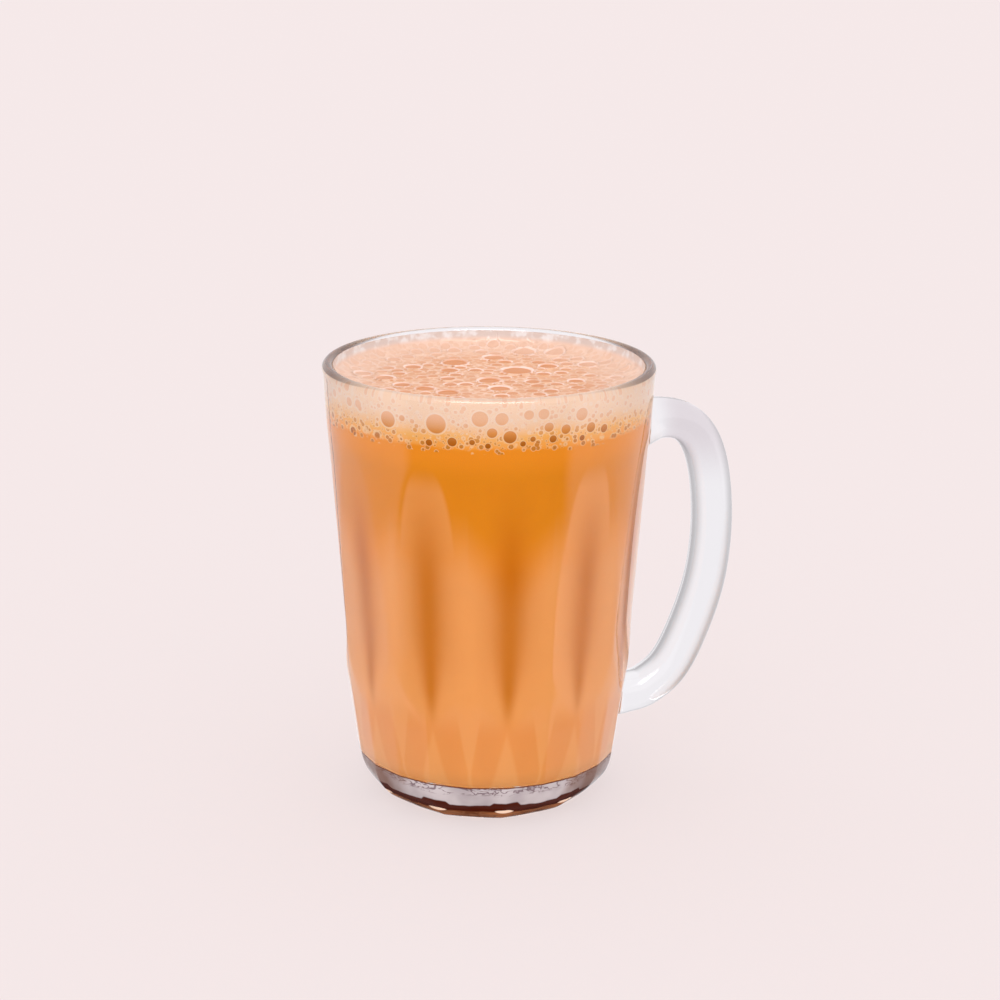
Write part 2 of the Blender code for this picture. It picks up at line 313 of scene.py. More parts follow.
def flute_cut(height, angle):
    """Parabola across a flute, whose depth and width shrink to an arch above and a tip below."""
    rising = np.clip((FLUTE_TOP - height) / (FLUTE_TOP - FLUTE_DEEPEST), 0, 1) ** FLUTE_ARCH
    share = np.clip((height - FLUTE_TIP) / (FLUTE_DEEPEST - FLUTE_TIP), 0, 1)
    falling = share ** 2 * (3 - 2 * share)
    strength = np.where(height >= FLUTE_DEEPEST, rising, falling)
    half_angle = FLUTE_HALF_ANGLE * np.sqrt(np.maximum(strength, 1e-6))
    return FLUTE_DEPTH * strength * np.maximum(0, 1 - (angle / half_angle) ** 2)


def flattening(radius, angle, half_angle):
    """How far a flat between two corners lies inside the circle through them."""
    return radius * (1 - math.cos(half_angle) / np.cos(angle))


def cup_radius(radius, height, turn):
    """The turned radius less the flutes, the facets of the lower wall and the corners of the foot."""
    from_flute = (turn + PLACE / 2) % PLACE - PLACE / 2
    from_ridge = PLACE / 2 - np.abs(from_flute)
    from_facet = np.abs(np.abs(from_flute) - PLACE / 4)
    facet = FACET_SHARE * np.clip((FACET_TOP - height) / (FACET_TOP - FLUTE_TIP), 0, 1)
    facet = facet * np.clip(height / HEEL_HEIGHT, 0, 1)
    corner = CORNER_SHARE * np.clip(1 - height / CORNER_TOP, 0, 1)
    cut = flute_cut(height, from_flute) + facet * flattening(radius, from_facet, PLACE / 4)
    return radius - cut - corner * flattening(radius, from_ridge, PLACE / 2)


def cavity_profile(top, margin, rows, corner_rows):
    """Radii and heights down the cavity's taper and a quarter circle to its floor, grown by a margin."""
    low = FLOOR_HEIGHT + FLOOR_CURVE
    height = np.linspace(top, low, rows)
    turn = np.linspace(0, math.pi / 2, corner_rows)[1:]
    curve = FLOOR_CURVE + margin
    corner_radius = inner_radius(low) + margin
    radius = np.concatenate([inner_radius(height) + margin, corner_radius - curve * (1 - np.cos(turn))])
    return radius, np.concatenate([height, low - curve * np.sin(turn)])


def closed_skin(name, rings, first_pole, last_pole):
    """A closed mesh through rings of points, (rows, columns, 3), with a point as a pole at each end."""
    rows, columns, _ = rings.shape
    start = np.arange(columns)
    after = (start + 1) % columns
    low = (np.arange(rows - 1) * columns)[:, None]
    quads = np.stack([low + start, low + after, low + columns + after, low + columns + start], axis=-1)
    first, last = rows * columns, rows * columns + 1
    top = (rows - 1) * columns
    fans = np.concatenate([
        np.stack([after, start, np.full(columns, first)], axis=-1),
        np.stack([top + start, top + after, np.full(columns, last)], axis=-1)])
    points = np.concatenate([rings.reshape(-1, 3), [first_pole, last_pole]])
    mesh = bpy.data.meshes.new(name)
    mesh.from_pydata(points.tolist(), [], quads.reshape(-1, 4).tolist() + fans.tolist())
    mesh.shade_smooth()
    return mesh


def turned_rings(radius, height, turn):
    """Circles about the axis as points, where radius is (rows, columns) or (rows, 1)."""
    height = np.broadcast_to(height, np.broadcast_shapes(radius.shape, turn.shape))
    return np.stack([radius * np.cos(turn), radius * np.sin(turn), height], axis=-1)


def cup_rings():
    """Flat foot, quadratic Bezier up the heel, fluted wall, half circle over the lip, then the cavity."""
    turn = np.linspace(0, 2 * math.pi, CUP_COLUMNS, endpoint=False)[None, :]
    foot = np.linspace(0.25, 1, FOOT_ROWS, endpoint=False) * FOOT_RADIUS
    share = np.linspace(0, 1, HEEL_ROWS)
    heel = (1 - share) ** 2 * FOOT_RADIUS + 2 * share * (1 - share) * HEEL_BULGE[0] + share ** 2 * HEEL_RADIUS
    heel_height = 2 * share * (1 - share) * HEEL_BULGE[1] + share ** 2 * HEEL_HEIGHT
    wall_height = np.linspace(FOOT_LINE, HEIGHT - LIP_THICKNESS / 2, WALL_ROWS, endpoint=False)
    outer = np.concatenate([foot, heel, wall_radius(wall_height)])[:, None]
    outer_height = np.concatenate([foot * 0, heel_height, wall_height])[:, None]
    half = LIP_THICKNESS / 2
    over = np.linspace(0, math.pi, LIP_ROWS)
    lip = (RIM_RADIUS - half + half * np.cos(over))[:, None]
    lip_height = (HEIGHT - half + half * np.sin(over))[:, None]
    inner, inner_height = cavity_profile(
        HEIGHT - 2 * LIP_THICKNESS, 0.0, CAVITY_ROWS, CAVITY_CORNER_ROWS)
    return np.concatenate([
        turned_rings(cup_radius(outer, outer_height, turn), outer_height, turn),
        turned_rings(lip, lip_height, turn),
        turned_rings(inner[:, None], inner_height[:, None], turn)])


# The handle's middle line from its top root to its low root, as (x, z) in millimetres
HANDLE_ROUTE = np.array((
    (37.2, 89.8), (44.0, 91.0), (50.4, 89.5), (55.1, 84.3), (57.8, 75.4), (58.8, 62.5),
    (57.5, 49.0), (53.7, 36.6), (48.5, 26.2), (42.0, 21.0), (36.5, 19.8), (31.6, 19.6))) * MM
HANDLE_WIDTH = 11.0 * MM
HANDLE_TOP_THICKNESS = 9.6 * MM
HANDLE_LOW_THICKNESS = 10.0 * MM
HANDLE_SQUARENESS = 2.4
HANDLE_STEPS = 10
TOP_ROOT_FLARE = 0.26
LOW_ROOT_FLARE = 0.08
ROOT_FLARE_LENGTH = 5.0 * MM
FILLET = 1.6 * MM
HANDLE_SIDES = 48


def smooth_route(points, steps):
    """Catmull-Rom curve through the points, with its ends held."""
    held = np.concatenate([points[:1], points, points[-1:]])
    a, b, c, d = (held[i:len(held) - 3 + i, None] for i in range(4))
    share = np.linspace(0, 1, steps, endpoint=False)[None, :, None]
    bend, twist = 2 * a - 5 * b + 4 * c - d, 3 * b - a - 3 * c + d
    route = b + ((c - a) * share + bend * share ** 2 + twist * share ** 3) / 2
    return np.concatenate([route.reshape(-1, 2), points[-1:]])


def handle_rings():
    """A rounded square carried along the route, which grows by a quarter-circle fillet near the wall.

    The square is a superellipse, and it flares at each root by a bell curve.
    """
    route = smooth_route(HANDLE_ROUTE, HANDLE_STEPS)
    ahead = np.gradient(route, axis=0)
    ahead[0], ahead[-1] = (1, 0), (-1, 0)
    ahead /= np.linalg.norm(ahead, axis=1, keepdims=True)
    along = np.concatenate([[0], np.cumsum(np.linalg.norm(np.diff(route, axis=0), axis=1))])
    left = along[-1] - along
    flare = 1 + TOP_ROOT_FLARE * np.exp(-((along / ROOT_FLARE_LENGTH) ** 2))
    flare = flare + LOW_ROOT_FLARE * np.exp(-((left / ROOT_FLARE_LENGTH) ** 2))
    thickness = flare * mix(HANDLE_TOP_THICKNESS, HANDLE_LOW_THICKNESS, along / along[-1])
    turn = 2 * math.pi * np.arange(HANDLE_SIDES) / HANDLE_SIDES
    across, aside = np.cos(turn), np.sin(turn)
    across = np.sign(across) * np.abs(across) ** (2 / HANDLE_SQUARENESS)
    aside = np.sign(aside) * np.abs(aside) ** (2 / HANDLE_SQUARENESS)

    def section(growth):
        reach = thickness[:, None] / 2 * across + growth * np.cos(turn)
        x = route[:, 0, None] - ahead[:, 1, None] * reach
        z = route[:, 1, None] + ahead[:, 0, None] * reach
        y = flare[:, None] * HANDLE_WIDTH / 2 * aside + growth * np.sin(turn)
        return x, y, z

    x, y, z = section(0.0)
    to_wall = np.hypot(x, y) - wall_radius(z.ravel()).reshape(z.shape)
    inside = np.clip(1 - to_wall / FILLET, 0, 1)
    x, y, z = section(FILLET * (1 - np.sqrt(1 - inside ** 2)))
    return np.stack([x, y, z], axis=-1)


def fused(name, body, part):
    """One object from the mesh of a body and a part joined to it by Boolean union."""
    whole = bpy.data.objects.new(name, body)
    helper = bpy.data.objects.new(part.name, part)
    scene.collection.objects.link(whole)
    scene.collection.objects.link(helper)
    join = whole.modifiers.new(part.name, "BOOLEAN")
    join.operation = "UNION"
    join.solver = "EXACT"
    join.object = helper
    joined = whole.evaluated_get(bpy.context.evaluated_depsgraph_get())
    result = bpy.data.meshes.new_from_object(joined)
    whole.modifiers.clear()
    whole.data = result
    bpy.data.objects.remove(helper)
    return whole


CLEAR = linear(252, 252, 253)
CLEAR_SOCKETS = {"Roughness": 0.0, "IOR": 1.5, "Transmission Weight": 1.0}
SKIN_DEPTH = 0.4 * MM
# Painted shade on the lip's crest
LIP_PAINTED_SHADE = linear(80, 64, 60)
SEAM_BROWN = linear(116, 76, 52)
BEND_GREY = linear(233, 227, 230)


def pressed_glass():
    """Clear glass with a slow ripple in its skin, painted shade on the lip's crest, most on two arcs.

    The handle's top bend is a little grey, and the mould's thin seam runs down the
    side that faces away from the handle. Heights and widths are in millimetres.
    """
    material, wire = new_material("pressed_glass")
    place = wire.node("TexCoord", out="Object")
    ripple = wire.node("TexNoise", {"Vector": place, "Scale": 90.0, "Detail": 1.0})
    x, y, z = (wire.node("SeparateXYZ", {0: place}, out=axis) for axis in range(3))
    # Painted shade: the lip's crest greys a little all round and most on two opposite arcs
    arcs = wire.maths("COSINE", wire.maths("ARCTAN2", y, x) * 2.0 + 0.6).step(-0.4, 0.8)
    crest = (z / MM + arcs * 0.7).step(107.65, 107.95) * (0.22 + arcs * 0.78)
    colour = crest.blend(CLEAR, LIP_PAINTED_SHADE)
    across = wire.maths("ABSOLUTE", y / MM)
    seam = across.step(0.55, 0.3) * (0.0 - x / MM).step(0.0, 1.0)
    seam = seam * (z / MM).step(14.0, 60.0) * (z / MM).step(106.5, 105.0)
    colour = seam.blend(colour, SEAM_BROWN)
    bend = (x / MM).step(42.0, 48.0) * (z / MM).step(72.0, 88.0)
    colour = bend.blend(colour, BEND_GREY)
    bump = wire.node("Bump", {"Strength": 0.05, "Distance": SKIN_DEPTH, "Height": ripple})
    wire.fill(wire.tree.nodes["Principled BSDF"], {**CLEAR_SOCKETS, "Base Color": colour, "Normal": bump})
    return material


def around_flutes(wire, x, y):
    """The turn in places of a flute, and the degrees from the nearest flute's middle line."""
    places = wire.maths("ARCTAN2", y, x) / PLACE
    share = wire.maths("ABSOLUTE", wire.maths("FRACT", places + 0.5) - 0.5)
    return places, share * math.degrees(PLACE)


# The foot's bands of painted refraction, reflection and shade, its patches of painted
# shade and its painted glint: colours, then heights in millimetres and a turn in degrees
# Painted reflection of the tea in the underside: amber, browner away from the flutes, with spots
FOOT_AMBER = linear(160, 100, 60)
FOOT_BROWN = linear(104, 57, 28)
FOOT_AMBER_SPOTS = linear(134, 86, 56)
# Painted shade: the tea's dark bottom seen through the base
FOOT_SHADE_LINE = linear(66, 16, 0)
# Painted refraction of the pale room seen through the base, with dark squiggles in it
FOOT_GREY = linear(158, 149, 150)
FOOT_PALE_GREY = linear(186, 178, 178)
FOOT_SQUIGGLES = linear(84, 56, 66)
# Painted shade: three dark patches on the grey band
FOOT_PAINTED_DARK_PATCHES = linear(104, 70, 54)
# Painted shade: a thin dark line right under the tea
FOOT_TOP_EDGE_SHADE = linear(92, 48, 28)
# Painted glint: a small bright oval low on each flute
FOOT_PAINTED_GLINT = linear(248, 218, 192)
DARK_LINE_TOP = 5.7
DARK_LINE_STEP = 1.0
GLINT_HEIGHT = 3.7
GLINT_HALF_HEIGHT = 0.6
GLINT_HALF_TURN = 4.6


def thick_foot():
    """Painted refraction, reflection and shade that the thick base bends into bands: amber,
    a dark line of shade, then grey with dark squiggles.

    The dark line steps up at each flute, above an oval painted glint, and painted shade
    darkens three patches and the grey band's top edge. Light from inside the glass passes
    as through clear glass. Heights are in millimetres and turns in degrees.
    """
    material, wire = new_material("thick_foot")
    place = wire.node("TexCoord", out="Object")
    x, y, z = (wire.node("SeparateXYZ", {0: place}, out=axis) for axis in range(3))
    _, offset = around_flutes(wire, x, y)
    slow = wire.node("TexNoise", {"Vector": place, "Scale": 130.0, "Detail": 2.0})
    flat = wire.node("Mapping", {"Vector": place, "Scale": (1.0, 1.0, 2.6)})
    fine = wire.node("TexNoise", {"Vector": flat, "Scale": 260.0, "Detail": 2.0, "Distortion": 1.0})
    height = z / MM + (slow - 0.5) * 1.6
    # Painted refraction: a grey band of the room seen through the base, with dark squiggles
    grey = slow.step(0.3, 0.7).blend(FOOT_GREY, FOOT_PALE_GREY)
    squiggles = wire.maths("ABSOLUTE", fine - 0.5).step(0.05, 0.015)
    grey = (squiggles * height.step(8.4, 9.4) * 0.75).blend(grey, FOOT_SQUIGGLES)
    # Painted shade: three dark patches round the foot at fixed turns, uneven by noise
    dark_patch = wire.maths("COSINE", wire.maths("ARCTAN2", y, x) * 3.0 + 8.74) + (slow - 0.5) * 1.2
    grey = (dark_patch.step(0.25, 0.9) * 0.85).blend(grey, FOOT_PAINTED_DARK_PATCHES)
    # Painted shade: a thin dark line along the band's top, under the tea
    grey = (z / MM).step(10.7, 10.9).blend(grey, FOOT_TOP_EDGE_SHADE)
    # Painted reflection of the tea: an amber band, browner away from each flute
    amber = offset.step(2.0, 15.0).blend(FOOT_AMBER, FOOT_BROWN)
    amber = fine.step(0.45, 0.6).blend(amber, FOOT_AMBER_SPOTS)
    # Painted shade: the dark line, stepping up at each flute
    line_top = DARK_LINE_TOP + offset.step(7.5, 5.0) * DARK_LINE_STEP
    colour = height.step(3.0, 3.8).blend(amber, FOOT_SHADE_LINE)
    colour = (height - line_top).step(-0.25, 0.25).blend(colour, grey)
    # Painted glint: an oval highlight at each flute's middle, at the dark line's lower edge
    glint = ((height - GLINT_HEIGHT) / GLINT_HALF_HEIGHT) ** 2.0 + (offset / GLINT_HALF_TURN) ** 2.0
    colour = (glint.step(1.15, 0.6) * 0.95).blend(colour, FOOT_PAINTED_GLINT)
    bump = wire.node("Bump", {"Strength": 0.3, "Distance": SKIN_DEPTH, "Height": slow})
    shader = wire.tree.nodes["Principled BSDF"]
    wire.fill(shader, {"Base Color": colour, "Roughness": 0.08, "Specular IOR Level": 0.08, "Normal": bump})
    within = wire.node("BsdfPrincipled", {**CLEAR_SOCKETS, "Base Color": CLEAR})
    from_within = wire.node("NewGeometry", out="Backfacing")
    both = wire.node("MixShader", {0: from_within, 1: Wire(wire.tree, shader.outputs[0]), 2: within})
    wire.fill(wire.tree.nodes["Material Output"], {"Surface": both})
    return material


cup = closed_skin("cup", cup_rings(), (0, 0, 0), (0, 0, FLOOR_HEIGHT))
top_root, low_root = ((x, 0, z) for x, z in (HANDLE_ROUTE[0], HANDLE_ROUTE[-1]))
handle = closed_skin("handle", handle_rings()[::-1], low_root, top_root)
mug = fused("mug_glass", cup, handle)
mug.data.materials.clear()
mug.data.materials.append(pressed_glass())
mug.data.materials.append(thick_foot())
centres = np.zeros(len(mug.data.polygons) * 3)
mug.data.polygons.foreach_get("center", centres)
centres = centres.reshape(-1, 3)
level, away = centres[:, 2], np.hypot(centres[:, 0], centres[:, 1])
outside_cavity = (level < FLOOR_HEIGHT - MM) | (away > CAVITY_CLEAR)
in_foot = (level < FOOT_LINE) & (away > FOOT_RADIUS) & outside_cavity
mug.data.polygons.foreach_set("material_index", in_foot.astype(np.int32))
mug.data.shade_smooth()
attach(mug, "root")
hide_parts("glass_mug")

# Tea: opaque milky tea that fills the cavity up to the froth. It reaches just
# into the wall, so it lies against the glass with no air between. The light and shade
# that the flutes bend are painted on it: deep arches and arches of painted pale light,
# with a painted dark core of shade in each.
TEA_LEVEL = 96.2 * MM
TEA_INTO_WALL = 0.06 * MM
TEA_DEEP = linear(249, 157, 36)
TEA_DARK = linear(238, 151, 26)
# Painted light and shade from the flutes: pale light, a core's shade, its deeper shade, the low wedge's shade
TEA_PAINTED_LIGHT = linear(250, 175, 99)
TEA_CORE_SHADE = linear(220, 135, 42)
TEA_SHADE = linear(218, 126, 8)
TEA_LOW_SHADE = linear(246, 162, 80)
TEA_COLUMNS = PLACES * 16
TEA_ROWS = 60
TEA_CORNER_ROWS = 14


def milky_tea():
    """Deep amber near the top, with painted pale light lower down and in every other arch.

    A dark core of painted shade stands behind each flute, and near the floor a deeper
    wedge of painted shade spreads to each side of it, between painted light down the
    flute's middle and along the ridges. Heights are in millimetres and turns in degrees.
    """
    material, wire = new_material("milky_tea")
    place = wire.node("TexCoord", out="Object")
    x, y, z = (wire.node("SeparateXYZ", {0: place}, out=axis) for axis in range(3))
    height = z / MM
    places, offset = around_flutes(wire, x, y)
    below_arch = (FLUTE_TOP / MM - height) / ((FLUTE_TOP - FLUTE_DEEPEST) / MM)
    half = math.degrees(FLUTE_HALF_ANGLE) * wire.maths("MAXIMUM", below_arch, 0.001) ** (FLUTE_ARCH / 2)
    # Painted light: pale arches in every other flute, and pale light lower down that reaches higher in the
    # others
    in_arch = (half - offset).step(0.0, 2.0) * height.step(FLUTE_TOP / MM, 84.0)
    every_other = wire.maths("COSINE", wire.maths("FLOOR", places + 0.5) * math.pi)
    reach = (0.5 - every_other * 0.5) * (1.0 - offset / 18.0)
    lower = (height + reach * 13.0).step(82.0, 62.0)
    pale = wire.maths("MAXIMUM", in_arch * (0.36 + 0.36 * every_other), lower)
    deep = (height.step(94.5, 88.0) * height.step(66.0, 78.0)).blend(TEA_DEEP, TEA_DARK)
    colour = pale.blend(deep, TEA_PAINTED_LIGHT)
    # Painted shade: a dark core behind each flute, deeper higher up in every other one
    width = 1.6 + 5.0 * height.step(22.0, 52.0)
    core = wire.maths("EXPONENT", 0.0 - (offset / width) ** 2.0)
    core = core * height.step(88.0, 62.0) * height.step(23.0, 36.0)
    shade = (reach * height.step(54.0, 68.0)).blend(TEA_CORE_SHADE, TEA_SHADE)
    colour = core.blend(colour, shade)
    # Painted shade near the floor: a wedge to each side of painted light down the flute's middle and along
    # the ridges
    flute_light = (6.0 * (FLUTE_TIP / MM - height) / 13.0 - offset).step(-1.0, 1.5)
    spread = wire.maths("MAXIMUM", 4.0 * (height - 15.0) / 13.0, 0.0)
    ridge_light = (offset - 16.4 + spread + 0.7).step(-0.7, 0.7)
    wedge = (1.0 - wire.maths("MAXIMUM", flute_light, ridge_light)) * height.step(31.0, 24.0)
    colour = (wedge * 0.75).blend(colour, TEA_LOW_SHADE)
    wire.fill(wire.tree.nodes["Principled BSDF"], {
        "Base Color": colour, "Roughness": 0.6, "Specular IOR Level": 0.0})
    return material


def tea_rings():
    """The cavity's profile turned about the axis, from the floor up to the tea's level."""
    turn = np.linspace(0, 2 * math.pi, TEA_COLUMNS, endpoint=False)[None, :]
    radius, height = cavity_profile(TEA_LEVEL, TEA_INTO_WALL, TEA_ROWS, TEA_CORNER_ROWS)
    return turned_rings(radius[:, None], height[:, None], turn)[::-1]


tea_skin = closed_skin(
    "pulled_tea", tea_rings(), (0, 0, FLOOR_HEIGHT - TEA_INTO_WALL), (0, 0, TEA_LEVEL))
tea = bpy.data.objects.new("pulled_tea", tea_skin)
scene.collection.objects.link(tea)
tea.data.materials.append(milky_tea())
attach(tea, "root")
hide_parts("tea")

# Froth: fine foam with larger bubbles in its top. It clings to the wall, so its
# edge climbs the glass a little, with a thin film left above it, and more bubbles
# lie flat against the glass.
FROTH_LEVEL = 102.9 * MM
FROTH_CLIMB = 2.2 * MM
FROTH_CLIMB_LENGTH = 2.3 * MM
FROTH_BOTTOM = 94.0 * MM
FROTH_INTO_WALL = 0.12 * MM
BOTTOM_INTO_WALL = FROTH_INTO_WALL * 0.2
FILM_TOP = 107.3 * MM
FROTH_REACH = inner_radius(FILM_TOP) + FROTH_INTO_WALL
FROTH_GRID = 281
FROTH_BAND_ROWS = 5
SHARP_ANGLE = math.radians(70)
# Larger bubbles in the top as (x, y, radius) in millimetres
TOP_BUBBLES = (
    (9.5, 7.8, 4.2), (-2.6, 20.1, 3.6), (8.3, 22.9, 3.0), (17.4, 26.5, 3.2), (24.3, 23.0, 2.7),
    (28.5, 9.5, 2.7), (23.5, 16.0, 2.3), (18.5, 10.5, 2.6), (-0.1, -0.4, 3.0), (0.0, -8.9, 2.9),
    (-13.0, -9.5, 2.9), (-17.1, -4.3, 2.6), (-21.3, 1.1, 2.3), (-23.4, 9.1, 2.6), (-27.5, 14.5, 2.4),
    (-13.8, 18.6, 2.4), (-6.1, 12.6, 2.4), (14.8, 3.2, 2.0), (9.7, -3.9, 2.0), (-6.4, -2.3, 1.9),
    (-9.0, 4.5, 2.0), (20.0, -6.0, 2.2), (11.0, -14.0, 2.0), (-9.0, -19.0, 2.1), (3.0, -20.0, 1.8))
# Smaller ones as (count, radius in millimetres), where TRIES times as many places are tried
RANDOM_SIZES = ((60, 1.7), (200, 1.2), (600, 0.8), (900, 0.5))
TRIES = 8
BUBBLE_SPACING = 0.93
BUBBLE_SEED = 7
# Relief of the top: a bubble's raised rim, the low swell inside it, and the uneven
# edge, where the relief fades out towards the wall
RIM_SHARE = 0.17
RIM_WIDTH = 0.14
RIM_HIGHEST = 0.5 * MM
RIM_FULL_SIZE = 1.6 * MM
SWELL_SHARE = 0.07
SWELL_HIGHEST = 0.25 * MM
TOP_SUNK = 0.1 * MM
UNEVEN_CLIMB = 0.3 * MM
UNEVEN_FADE = 1.5 * MM
WALL_FADE = 0.6 * MM
FILM_EDGE = 0.05 * MM


def scattered_bubbles():
    """The placed bubbles, then smaller ones tried at random places and kept where they fit."""
    rng = np.random.default_rng(BUBBLE_SEED)
    found = np.array(TOP_BUBBLES) * MM
    for count, radius in RANDOM_SIZES:
        tries = count * TRIES
        reach = (FROTH_REACH - radius * MM) * np.sqrt(rng.random(tries))
        turn = rng.uniform(0, 2 * math.pi, tries)
        size = radius * MM * rng.uniform(0.75, 1.15, tries)
        for new in np.stack([reach * np.cos(turn), reach * np.sin(turn), size], axis=-1):
            apart = np.hypot(found[:, 0] - new[0], found[:, 1] - new[1])
            if np.all(apart > BUBBLE_SPACING * (found[:, 2] + new[2])):
                found = np.concatenate([found, new[None]])
    return found


def bubble_field(x, y, bubbles):
    """Distances to the nearest bubble and the next one, in their radii, and the nearest one's radius."""
    nearest = np.full(x.shape, 9.0)
    second = nearest.copy()
    size = np.zeros(x.shape)
    for centre_x, centre_y, radius in bubbles:
        away = np.hypot(x - centre_x, y - centre_y) / radius
        closer = away < nearest
        second = np.where(closer, nearest, np.minimum(second, away))
        size = np.where(closer, radius, size)
        nearest = np.minimum(nearest, away)
    return nearest, second, size


def disc_grid(count):
    """A square grid carried to a disc of radius 1: each square ring becomes a circle."""
    a, b = np.meshgrid(np.linspace(-1, 1, count), np.linspace(-1, 1, count), indexing="ij")
    wide = np.abs(a) > np.abs(b)
    radius = np.where(wide, a, b)
    safe = np.where(radius == 0, 1, radius)
    turn = np.where(wide, b / safe * math.pi / 4, math.pi / 2 - a / safe * math.pi / 4)
    return radius * np.cos(turn), radius * np.sin(turn)


def froth_height(inward, turn, near, size):
    """Height of the froth's top from its way in from the wall, its turn and its bubbles.

    A bubble is a low parabola inside a raised rim, which is a bell curve about its
    edge. Towards the wall the foam climbs exponentially, unevenly by two sines, and
    its last ring is the top of the film.
    """
    uneven = np.sin(31 * turn + 2 * np.sin(7 * turn)) + 0.7 * np.sin(53 * turn + 1.3 * np.sin(5 * turn))
    bumps = UNEVEN_CLIMB * uneven * np.clip(inward / UNEVEN_FADE, 0, 1)
    climb = (FROTH_CLIMB + bumps) * np.exp(-inward / FROTH_CLIMB_LENGTH)
    rim = np.minimum(RIM_SHARE * size * np.clip(size / RIM_FULL_SIZE, 0.3, 1), RIM_HIGHEST)
    rim = rim * np.exp(-((near - 1) / RIM_WIDTH) ** 2)
    swell = np.minimum(SWELL_SHARE * size, SWELL_HIGHEST) * np.clip(1 - near ** 2, 0, 1)
    fade = np.clip(inward / WALL_FADE, 0, 1)
    film = (FILM_TOP - FROTH_LEVEL - FROTH_CLIMB) * (inward < FILM_EDGE)
    return FROTH_LEVEL + climb + film + (rim + swell - TOP_SUNK) * fade


def froth_mesh(bubbles):
    """A closed mesh: the bubbly top on a disc, a band down the wall and a flat bottom.

    The attribute "bubble" keeps, for each point of the top, the distance to the
    nearest bubble and how much further the next one is, both in radii and capped,
    and the nearest one's radius in millimetres.
    """
    x, y = (FROTH_REACH * side for side in disc_grid(FROTH_GRID))
    near, second, size = bubble_field(x, y, bubbles)
    turn = np.arctan2(y, x)
    z = froth_height(FROTH_REACH - np.hypot(x, y), turn, near, size)
    last = FROTH_GRID - 1
    number = np.arange(FROTH_GRID ** 2).reshape(FROTH_GRID, FROTH_GRID)
    top = np.stack([number[:-1, :-1], number[1:, :-1], number[1:, 1:], number[:-1, 1:]], axis=-1)
    edge = np.concatenate([number[:-1, 0], number[last, :-1], number[:0:-1, last], number[0, :0:-1]])
    points = [np.stack([x, y, z], axis=-1).reshape(-1, 3)]
    faces = top.reshape(-1, 4).tolist()
    top_faces = len(faces)
    above = edge
    turn = turn.ravel()[edge]
    for height in np.linspace(FROTH_LEVEL + FROTH_CLIMB, FROTH_BOTTOM, FROTH_BAND_ROWS + 1)[1:]:
        into_wall = FROTH_INTO_WALL if height > FROTH_BOTTOM else BOTTOM_INTO_WALL
        reach = inner_radius(height) + into_wall
        below = sum(len(block) for block in points) + np.arange(len(edge))
        level = np.full(len(edge), height)
        points.append(np.stack([reach * np.cos(turn), reach * np.sin(turn), level], axis=-1))
        faces += np.stack([above, below, np.roll(below, -1), np.roll(above, -1)], axis=-1).tolist()
        above = below
    middle = sum(len(block) for block in points)
    points.append(np.array([[0.0, 0.0, FROTH_BOTTOM]]))
    faces += np.stack([above, np.full(len(edge), middle), np.roll(above, -1)], axis=-1).tolist()
    mesh = bpy.data.meshes.new("froth_head")
    mesh.from_pydata(np.concatenate(points).tolist(), [], faces)
    mesh.shade_smooth()
    mesh.set_sharp_from_angle(angle=SHARP_ANGLE)
    marks = np.ones((middle + 1, 4), np.float32)
    marks[:x.size, 0] = np.minimum(near, 2).ravel()
    marks[:x.size, 1] = np.minimum(second - near, 1).ravel()
    marks[:x.size, 2] = size.ravel() / MM
    mesh.attributes.new("bubble", "FLOAT_COLOR", "POINT").data.foreach_set("color", marks.ravel())
    against_wall = np.zeros(len(faces), np.int32)
    against_wall[top_faces:] = 1
    mesh.polygons.foreach_set("material_index", against_wall)
    return mesh


FOAM_DEEP = linear(200, 152, 116)
FOAM_PALE = linear(209, 170, 142)
SMALL_FILM = linear(197, 141, 99)
LARGE_FILM = linear(186, 115, 55)
# Pale rims: partly the foam's own borders, partly painted highlight
RIM_BORDER_AND_HIGHLIGHT = linear(224, 197, 184)
FOAM_AT_WALL = linear(214, 187, 170)
RESIDUE_DEEP = linear(190, 174, 165)
RESIDUE_PALE = linear(204, 199, 196)


